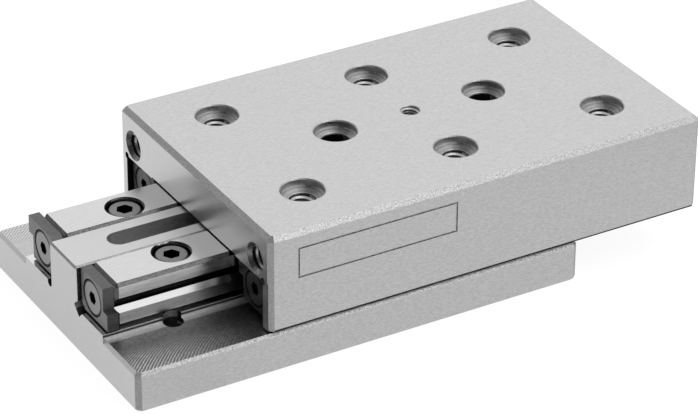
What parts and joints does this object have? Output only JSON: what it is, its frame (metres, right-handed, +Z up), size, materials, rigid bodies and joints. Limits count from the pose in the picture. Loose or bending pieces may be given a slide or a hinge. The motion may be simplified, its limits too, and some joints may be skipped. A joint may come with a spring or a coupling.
{
  "type": "crossed roller slide",
  "caption": "Precision linear slide: a U-shaped carriage on crossed-roller V rails over a ribbed base, with recessed mounting threads on top.",
  "frame": {"origin": "middle of the base underside", "axes": "+X along the travel, the way the carriage is pushed out; +Z up out of the carriage top; -Y to the side with the empty engraved frame"},
  "size_m": [0.103, 0.05, 0.024],
  "materials": {
    "ground_steel_base": "ground, with face-milled flanges",
    "ground_steel_carriage": "ground",
    "hardened_rail_steel": "hardened and fine ground",
    "black_end_plate_steel": "black oxide on steel",
    "end_screw_steel": "dark oxide",
    "cap_screw_steel": "dark oxide",
    "set_screw_steel": "black oxide",
    "cage_plastic": "moulded",
    "roller_steel": "polished bearing steel"
  },
  "bodies": {
    "base_group": {"base": "ground_steel_base", "inner_end_plate_far_front": "black_end_plate_steel", "inner_end_plate_far_rear": "black_end_plate_steel", "inner_end_plate_near_front": "black_end_plate_steel", "inner_end_plate_near_rear": "black_end_plate_steel", "inner_end_plate_screws": "end_screw_steel", "inner_rail_far": "hardened_rail_steel", "inner_rail_near": "hardened_rail_steel", "inner_rail_screws": "cap_screw_steel"},
    "carriage_group": {"carriage": "ground_steel_carriage", "outer_end_plate_far_front": "black_end_plate_steel", "outer_end_plate_far_rear": "black_end_plate_steel", "outer_end_plate_near_front": "black_end_plate_steel", "outer_end_plate_near_rear": "black_end_plate_steel", "outer_end_plate_screws": "end_screw_steel", "outer_rail_far": "hardened_rail_steel", "outer_rail_near": "hardened_rail_steel", "outer_rail_screws": "cap_screw_steel", "preload_screws": "set_screw_steel", "travel_stop_screw": "set_screw_steel"},
    "cage_far": {"cage_far": "cage_plastic"},
    "cage_near": {"cage_near": "cage_plastic"},
    "roller_far_1": {"roller_far_1": "roller_steel"},
    "roller_far_2": {"roller_far_2": "roller_steel"},
    "roller_far_3": {"roller_far_3": "roller_steel"},
    "roller_far_4": {"roller_far_4": "roller_steel"},
    "roller_far_5": {"roller_far_5": "roller_steel"},
    "roller_far_6": {"roller_far_6": "roller_steel"},
    "roller_far_7": {"roller_far_7": "roller_steel"},
    "roller_far_8": {"roller_far_8": "roller_steel"},
    "roller_far_9": {"roller_far_9": "roller_steel"},
    "roller_near_1": {"roller_near_1": "roller_steel"},
    "roller_near_2": {"roller_near_2": "roller_steel"},
    "roller_near_3": {"roller_near_3": "roller_steel"},
    "roller_near_4": {"roller_near_4": "roller_steel"},
    "roller_near_5": {"roller_near_5": "roller_steel"},
    "roller_near_6": {"roller_near_6": "roller_steel"},
    "roller_near_7": {"roller_near_7": "roller_steel"},
    "roller_near_8": {"roller_near_8": "roller_steel"},
    "roller_near_9": {"roller_near_9": "roller_steel"}
  },
  "joints": [
    {"name": "carriage_slide", "type": "slide", "parent": "base_group", "child": "carriage_group", "axis": [1, 0, 0], "range_m": [-0.048, 0.002]},
    {"name": "cage_near_slide", "type": "slide", "parent": "base_group", "child": "cage_near", "axis": [1, 0, 0], "range_m": [-0.024, 0.001]},
    {"name": "roller_near_1_spin", "type": "hinge", "parent": "cage_near", "child": "roller_near_1", "pos_m": [-0.0085, -0.01365, 0.0118], "axis": [0, 0.7071, 0.7071], "range_deg": [-925, 45]},
    {"name": "roller_near_2_spin", "type": "hinge", "parent": "cage_near", "child": "roller_near_2", "pos_m": [-0.0035, -0.01365, 0.0118], "axis": [0, -0.7071, 0.7071], "range_deg": [-925, 45]},
    {"name": "roller_near_3_spin", "type": "hinge", "parent": "cage_near", "child": "roller_near_3", "pos_m": [0.0015, -0.01365, 0.0118], "axis": [0, 0.7071, 0.7071], "range_deg": [-925, 45]},
    {"name": "roller_near_4_spin", "type": "hinge", "parent": "cage_near", "child": "roller_near_4", "pos_m": [0.0065, -0.01365, 0.0118], "axis": [0, -0.7071, 0.7071], "range_deg": [-925, 45]},
    {"name": "roller_near_5_spin", "type": "hinge", "parent": "cage_near", "child": "roller_near_5", "pos_m": [0.0115, -0.01365, 0.0118], "axis": [0, 0.7071, 0.7071], "range_deg": [-925, 45]},
    {"name": "roller_near_6_spin", "type": "hinge", "parent": "cage_near", "child": "roller_near_6", "pos_m": [0.0165, -0.01365, 0.0118], "axis": [0, -0.7071, 0.7071], "range_deg": [-925, 45]},
    {"name": "roller_near_7_spin", "type": "hinge", "parent": "cage_near", "child": "roller_near_7", "pos_m": [0.0215, -0.01365, 0.0118], "axis": [0, 0.7071, 0.7071], "range_deg": [-925, 45]},
    {"name": "roller_near_8_spin", "type": "hinge", "parent": "cage_near", "child": "roller_near_8", "pos_m": [0.0265, -0.01365, 0.0118], "axis": [0, -0.7071, 0.7071], "range_deg": [-925, 45]},
    {"name": "roller_near_9_spin", "type": "hinge", "parent": "cage_near", "child": "roller_near_9", "pos_m": [0.0315, -0.01365, 0.0118], "axis": [0, 0.7071, 0.7071], "range_deg": [-925, 45]},
    {"name": "cage_far_slide", "type": "slide", "parent": "base_group", "child": "cage_far", "axis": [1, 0, 0], "range_m": [-0.024, 0.001]},
    {"name": "roller_far_1_spin", "type": "hinge", "parent": "cage_far", "child": "roller_far_1", "pos_m": [-0.0085, 0.01365, 0.0118], "axis": [0, 0.7071, 0.7071], "range_deg": [-45, 925]},
    {"name": "roller_far_2_spin", "type": "hinge", "parent": "cage_far", "child": "roller_far_2", "pos_m": [-0.0035, 0.01365, 0.0118], "axis": [0, -0.7071, 0.7071], "range_deg": [-45, 925]},
    {"name": "roller_far_3_spin", "type": "hinge", "parent": "cage_far", "child": "roller_far_3", "pos_m": [0.0015, 0.01365, 0.0118], "axis": [0, 0.7071, 0.7071], "range_deg": [-45, 925]},
    {"name": "roller_far_4_spin", "type": "hinge", "parent": "cage_far", "child": "roller_far_4", "pos_m": [0.0065, 0.01365, 0.0118], "axis": [0, -0.7071, 0.7071], "range_deg": [-45, 925]},
    {"name": "roller_far_5_spin", "type": "hinge", "parent": "cage_far", "child": "roller_far_5", "pos_m": [0.0115, 0.01365, 0.0118], "axis": [0, 0.7071, 0.7071], "range_deg": [-45, 925]},
    {"name": "roller_far_6_spin", "type": "hinge", "parent": "cage_far", "child": "roller_far_6", "pos_m": [0.0165, 0.01365, 0.0118], "axis": [0, -0.7071, 0.7071], "range_deg": [-45, 925]},
    {"name": "roller_far_7_spin", "type": "hinge", "parent": "cage_far", "child": "roller_far_7", "pos_m": [0.0215, 0.01365, 0.0118], "axis": [0, 0.7071, 0.7071], "range_deg": [-45, 925]},
    {"name": "roller_far_8_spin", "type": "hinge", "parent": "cage_far", "child": "roller_far_8", "pos_m": [0.0265, 0.01365, 0.0118], "axis": [0, -0.7071, 0.7071], "range_deg": [-45, 925]},
    {"name": "roller_far_9_spin", "type": "hinge", "parent": "cage_far", "child": "roller_far_9", "pos_m": [0.0315, 0.01365, 0.0118], "axis": [0, 0.7071, 0.7071], "range_deg": [-45, 925]}
  ],
  "couplings": [
    {"joint": "cage_near_slide", "follows": "carriage_slide", "ratio": 0.5},
    {"joint": "roller_near_1_spin", "follows": "carriage_slide", "rad_per_m": 333.33},
    {"joint": "roller_near_2_spin", "follows": "carriage_slide", "rad_per_m": 333.33},
    {"joint": "roller_near_3_spin", "follows": "carriage_slide", "rad_per_m": 333.33},
    {"joint": "roller_near_4_spin", "follows": "carriage_slide", "rad_per_m": 333.33},
    {"joint": "roller_near_5_spin", "follows": "carriage_slide", "rad_per_m": 333.33},
    {"joint": "roller_near_6_spin", "follows": "carriage_slide", "rad_per_m": 333.33},
    {"joint": "roller_near_7_spin", "follows": "carriage_slide", "rad_per_m": 333.33},
    {"joint": "roller_near_8_spin", "follows": "carriage_slide", "rad_per_m": 333.33},
    {"joint": "roller_near_9_spin", "follows": "carriage_slide", "rad_per_m": 333.33},
    {"joint": "cage_far_slide", "follows": "carriage_slide", "ratio": 0.5},
    {"joint": "roller_far_1_spin", "follows": "carriage_slide", "rad_per_m": -333.33},
    {"joint": "roller_far_2_spin", "follows": "carriage_slide", "rad_per_m": -333.33},
    {"joint": "roller_far_3_spin", "follows": "carriage_slide", "rad_per_m": -333.33},
    {"joint": "roller_far_4_spin", "follows": "carriage_slide", "rad_per_m": -333.33},
    {"joint": "roller_far_5_spin", "follows": "carriage_slide", "rad_per_m": -333.33},
    {"joint": "roller_far_6_spin", "follows": "carriage_slide", "rad_per_m": -333.33},
    {"joint": "roller_far_7_spin", "follows": "carriage_slide", "rad_per_m": -333.33},
    {"joint": "roller_far_8_spin", "follows": "carriage_slide", "rad_per_m": -333.33},
    {"joint": "roller_far_9_spin", "follows": "carriage_slide", "rad_per_m": -333.33}
  ]
}
